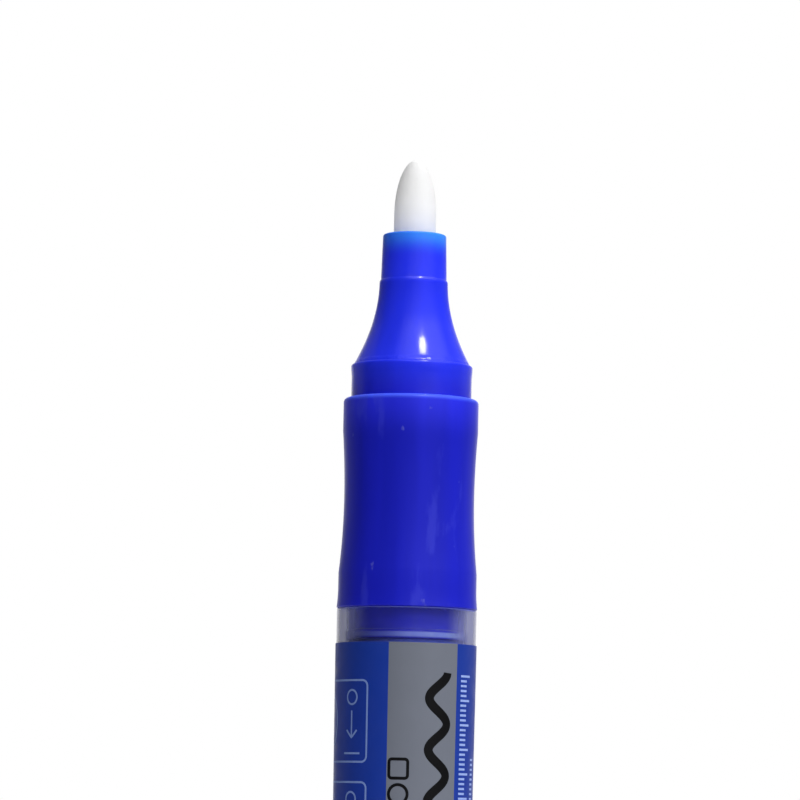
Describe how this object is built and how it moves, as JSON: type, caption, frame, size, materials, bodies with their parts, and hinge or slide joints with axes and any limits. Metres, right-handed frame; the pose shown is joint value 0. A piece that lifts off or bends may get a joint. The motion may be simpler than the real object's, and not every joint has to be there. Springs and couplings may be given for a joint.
{
  "type": "refillable whiteboard marker",
  "caption": "Whiteboard marker with a bullet nib, push-nib valve, waisted grip, clear ink window, pull-out ink cartridge and a cap posted on its rear.",
  "frame": {"origin": "centre of the flat closed end of the cap, on which the marker stands with its nib up", "axes": "+Z along the marker's axis towards the nib, +X through the cap's clip, the picture was taken looking along +Y"},
  "size_m": [0.0199, 0.017, 0.1596],
  "materials": {
    "nib": "bonded white polyester fibre",
    "nose_cone": "bright blue moulded polypropylene, satin gloss",
    "grip_section": "deep blue moulded polypropylene, satin gloss",
    "valve_housing": "natural polypropylene",
    "valve_seat_washer": "black rubber",
    "valve_stem": "white acetal",
    "valve_spring": "stainless spring wire",
    "spring_retainer": "white acetal",
    "flange_gasket": "black rubber",
    "barrel_tube": "natural translucent polypropylene",
    "label_film": "dark blue printed film with a grey stripe, satin",
    "rear_plug": "deep blue moulded polypropylene, satin gloss",
    "ink_cartridge": "natural translucent polypropylene",
    "cartridge_mouth_seal": "dark rubber",
    "ink_charge": "blue whiteboard ink",
    "cap_shell": "blue moulded polypropylene, satin gloss",
    "cap_inner_seal": "soft natural polyethylene"
  },
  "bodies": {
    "cap": {"cap_shell": "cap_shell", "cap_inner_seal": "cap_inner_seal"},
    "barrel": {"barrel_tube": "barrel_tube", "label_film": "label_film", "rear_plug": "rear_plug"},
    "front_section": {"nose_cone": "nose_cone", "grip_section": "grip_section", "valve_housing": "valve_housing", "valve_seat_washer": "valve_seat_washer", "valve_spring": "valve_spring", "spring_retainer": "spring_retainer", "flange_gasket": "flange_gasket"},
    "nib_unit": {"nib": "nib", "valve_stem": "valve_stem"},
    "cartridge": {"ink_cartridge": "ink_cartridge", "cartridge_mouth_seal": "cartridge_mouth_seal", "ink_charge": "ink_charge"}
  },
  "joints": [
    {"name": "cap_pull_off", "type": "slide", "parent": "cap", "child": "barrel", "axis": [0, 0, 1], "range_m": [0, 0.03]},
    {"name": "front_pull_off", "type": "slide", "parent": "barrel", "child": "front_section", "axis": [0, 0, 1], "range_m": [0, 0.06]},
    {"name": "nib_push", "type": "slide", "parent": "front_section", "child": "nib_unit", "axis": [0, 0, -1], "range_m": [0, 0.0025], "stiffness_N_per_m": 180, "springref_m": -0.002, "deforming": ["valve_spring"]},
    {"name": "cartridge_pull_off", "type": "slide", "parent": "front_section", "child": "cartridge", "axis": [0, 0, -1], "range_m": [0, 0.007]}
  ]
}
